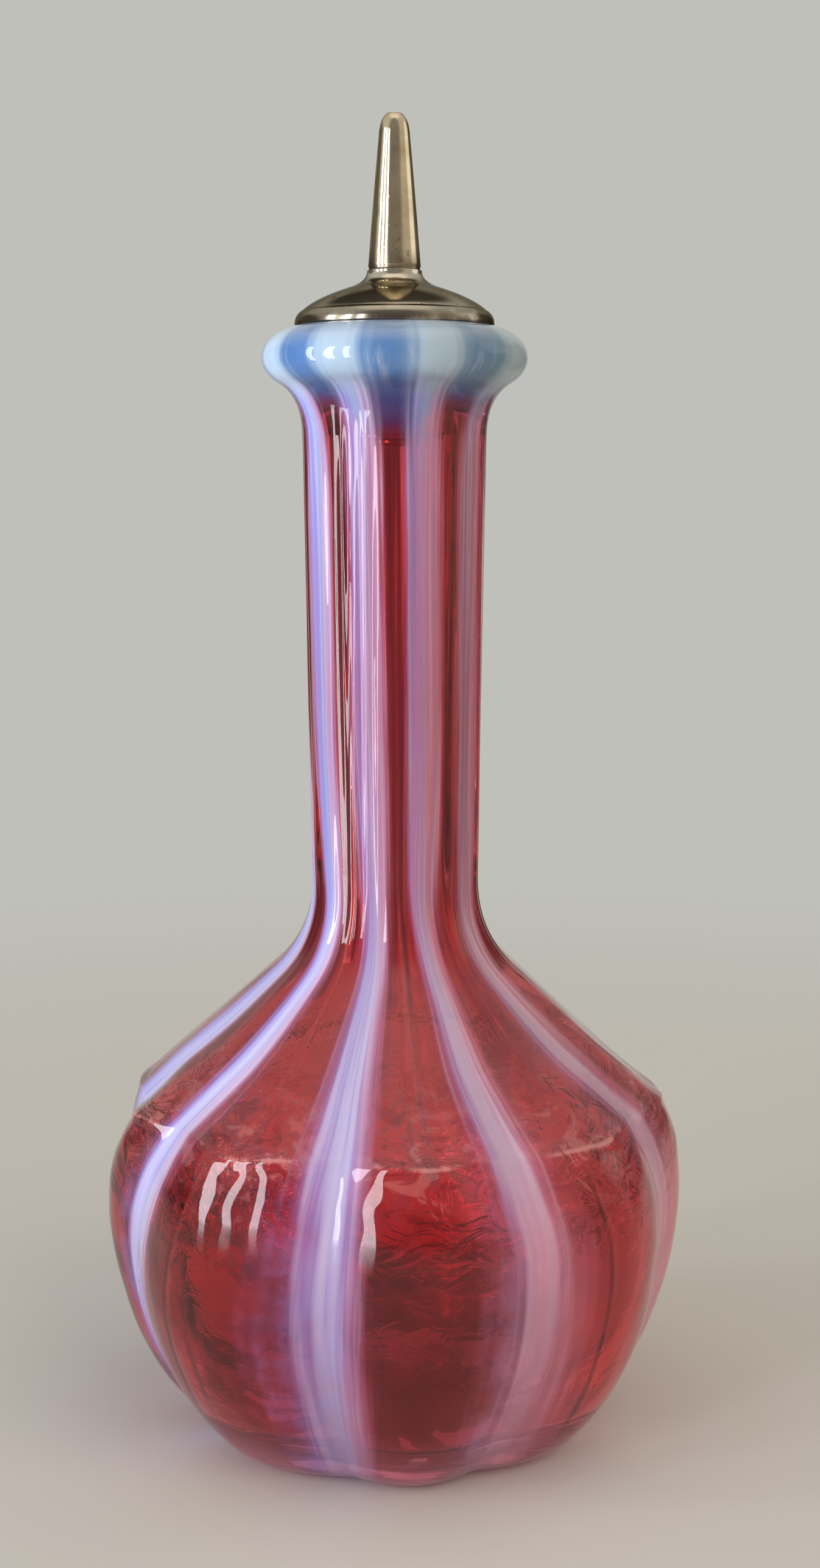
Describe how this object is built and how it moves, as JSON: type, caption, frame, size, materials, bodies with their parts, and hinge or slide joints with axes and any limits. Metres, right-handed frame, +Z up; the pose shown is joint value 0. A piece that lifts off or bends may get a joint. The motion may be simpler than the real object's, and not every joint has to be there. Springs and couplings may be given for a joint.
{
  "type": "barber bottle",
  "caption": "Melon-lobed blown glass barber bottle with a long neck, a rolled lip and a corked metal pourer with a tapered spout.",
  "frame": {"origin": "middle of the standing face, on the bottle's axis", "axes": "+Z up the bottle towards the spout, -Y towards a lobe at the front"},
  "size_m": [0.0931, 0.0923, 0.2088],
  "materials": {
    "ruby_glass": "gloss, ruby with milky stripes",
    "cork": "bare cork",
    "plated_metal": "polished plate, worn warm"
  },
  "bodies": {
    "bottle": {"bottle": "ruby_glass"},
    "cork": {"cork": "cork"},
    "pourer": {"cork_washer": "plated_metal", "pourer_stem": "plated_metal", "pourer_dome": "plated_metal", "pourer_spout": "plated_metal"}
  },
  "joints": [
    {"name": "stopper_lift", "type": "slide", "parent": "bottle", "child": "cork", "axis": [0, 0, 1], "range_m": [0, 0.04]},
    {"name": "pourer_turn", "type": "hinge", "parent": "cork", "child": "pourer", "pos_m": [0, 0, 0.17], "axis": [0, 0, 1], "continuous": true}
  ]
}
